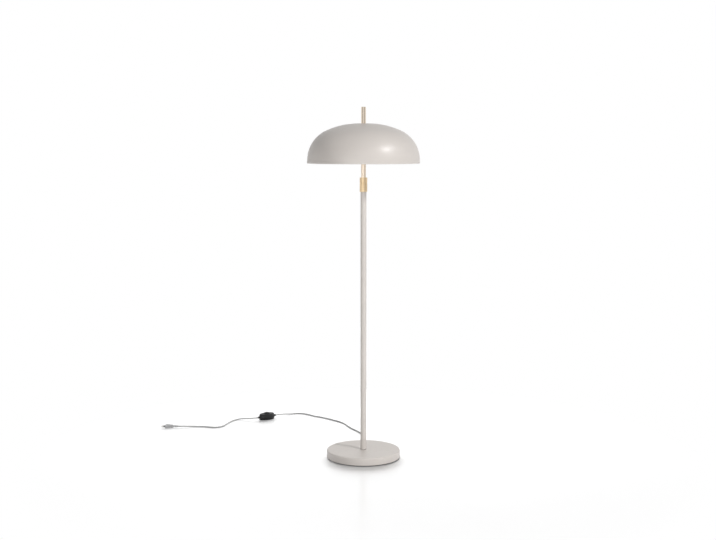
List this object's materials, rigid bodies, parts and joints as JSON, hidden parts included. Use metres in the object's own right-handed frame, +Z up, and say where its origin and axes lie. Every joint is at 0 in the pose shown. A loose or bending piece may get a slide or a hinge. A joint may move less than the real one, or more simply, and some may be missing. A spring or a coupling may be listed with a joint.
{
  "type": "floor lamp",
  "caption": "Floor lamp with a domed metal shade on a brass stem that slides and turns in a painted pole on a round base, with a twist lock, a foot switch and a plug on its cord.",
  "frame": {"origin": "on the floor at the centre of the round base", "axes": "+Z up along the pole; -Y is the front; the cord leaves the base towards +Y"},
  "size_m": [1.1988, 1.0497, 1.5],
  "materials": {
    "greige_paint": "satin",
    "shade_paint": "satin",
    "brass": "satin brushed",
    "iron": "rough cast",
    "pad": "matte foam",
    "steel": "zinc plated",
    "gasket": "matte",
    "nylon": "matte",
    "hub_paint": "satin",
    "holder_plastic": "matte",
    "holder_ceramic": "unglazed",
    "holder_brass": "bright",
    "bulb_cap": "bright",
    "bulb_glass": "opal",
    "cord": "woven sleeve",
    "lead": "smooth",
    "strain_relief": "matte",
    "switch_plastic": "fine texture",
    "switch_contacts": "matte",
    "plug_plastic": "matte",
    "pin_metal": "nickel plated"
  },
  "bodies": {
    "stand": {"base_cover": "greige_paint", "base_weight": "iron", "floor_pad": "pad", "foot_stud": "steel", "foot_nut": "steel", "foot_washer": "steel", "foot_gasket": "gasket", "foot_plug": "steel", "pole_tube": "greige_paint", "lock_body": "brass", "lock_collet": "nylon", "cord_gland": "strain_relief", "cord_clamp": "nylon", "base_lead": "lead", "cord_lamp_to_switch": "cord", "switch_lower_shell": "switch_plastic", "switch_upper_shell": "switch_plastic", "switch_mechanism": "switch_contacts", "cord_switch_to_plug": "cord", "plug_body": "plug_plastic", "plug_pin_left": "pin_metal", "plug_pin_right": "pin_metal"},
    "lock_ring": {"lock_ring": "brass"},
    "stem_guide": {"guide_bush": "nylon"},
    "stem": {"stem_tube": "brass", "stem_end_plug": "nylon", "bush_retaining_ring": "steel", "stem_stop_ring": "steel", "stem_lead": "lead", "shade_seat": "steel", "shade_gasket": "gasket", "top_nipple": "steel", "shade": "shade_paint", "finial_rod": "brass", "hub_body": "hub_paint", "hub_lid": "hub_paint", "holder_nipple_right": "steel", "holder_body_right": "holder_plastic", "holder_insert_right": "holder_ceramic", "holder_shell_right": "holder_brass", "holder_contact_right": "holder_brass", "bulb_cap_right": "bulb_cap", "bulb_globe_right": "bulb_glass", "holder_nipple_left": "steel", "holder_body_left": "holder_plastic", "holder_insert_left": "holder_ceramic", "holder_shell_left": "holder_brass", "holder_contact_left": "holder_brass", "bulb_cap_left": "bulb_cap", "bulb_globe_left": "bulb_glass"},
    "switch_button": {"switch_button": "switch_plastic"}
  },
  "joints": [
    {"name": "lock_ring_turn", "type": "hinge", "parent": "stand", "child": "lock_ring", "pos_m": [0, 0, 1.1935], "axis": [0, 0, 1], "range_deg": [0, 180]},
    {"name": "stem_slide", "type": "slide", "parent": "stand", "child": "stem_guide", "axis": [0, 0, 1], "range_m": [-0.12, 0.2]},
    {"name": "stem_turn", "type": "hinge", "parent": "stem_guide", "child": "stem", "pos_m": [0, 0, 1.2], "axis": [0, 0, 1], "range_deg": [-170, 170]},
    {"name": "button_press", "type": "slide", "parent": "stand", "child": "switch_button", "axis": [0, 0, -1], "range_m": [0, 0.003], "stiffness_N_per_m": 600, "springref_m": -0.003}
  ]
}
